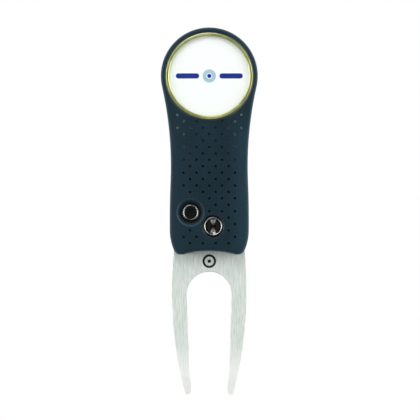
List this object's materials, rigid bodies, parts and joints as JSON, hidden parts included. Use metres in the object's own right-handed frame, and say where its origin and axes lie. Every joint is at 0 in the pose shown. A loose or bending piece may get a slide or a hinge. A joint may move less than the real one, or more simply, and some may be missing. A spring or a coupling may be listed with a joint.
{
  "type": "divot repair tool",
  "caption": "Pocket golf divot repair tool: a spring-loaded two-prong fork folds into a soft-touch handle with a push-button lock and a magnetic ball marker on its round head.",
  "frame": {"origin": "midway between the tips of the two prongs, in the fork's mid-plane, with the fork open", "axes": "+Z from the prong tips up to the head, +X to the right as seen from the front, +Y towards the back, so the marker and button face -Y"},
  "size_m": [0.0278, 0.0116, 0.1052],
  "materials": {
    "navy_rubber": "soft-touch, matte",
    "frame_metal": "fine blasted",
    "fork_steel": "brushed lengthwise",
    "polished_steel": "turned and polished",
    "spring_steel": "drawn wire",
    "washer_plastic": "moulded, slippery",
    "black_plastic": "satin black",
    "magnet_plating": "nickel plated",
    "gilt_brass": "pale gilt, polished",
    "printed_white": "printed enamel disc",
    "clear_epoxy": "domed clear resin"
  },
  "bodies": {
    "handle": {"front_grip": "navy_rubber", "rear_grip": "navy_rubber", "front_frame": "frame_metal", "rear_frame": "frame_metal", "spine_spacer": "frame_metal", "marker_magnet": "magnet_plating", "pivot_bolt": "polished_steel", "pivot_screw": "polished_steel", "front_washer": "washer_plastic", "rear_washer": "washer_plastic", "torsion_spring": "spring_steel", "button_spring": "spring_steel", "button_bezel": "black_plastic", "frame_screws": "polished_steel"},
    "fork": {"fork": "fork_steel", "stop_pin": "polished_steel"},
    "lock_button": {"lock_plunger": "polished_steel", "button_pad": "black_plastic"},
    "ball_marker": {"marker_base": "gilt_brass", "marker_insert": "printed_white", "marker_dome": "clear_epoxy"}
  },
  "joints": [
    {"name": "fork_swing", "type": "hinge", "parent": "handle", "child": "fork", "pos_m": [0.00109, 0, 0.0482], "axis": [0, -1, 0], "range_deg": [0, 180], "deforming": ["torsion_spring"]},
    {"name": "button_press", "type": "slide", "parent": "handle", "child": "lock_button", "axis": [0, 1, 0], "range_m": [-0.0013, 0], "deforming": ["button_spring"]},
    {"name": "marker_lift", "type": "slide", "parent": "handle", "child": "ball_marker", "axis": [0, -1, 0], "range_m": [0, 0.015]}
  ]
}
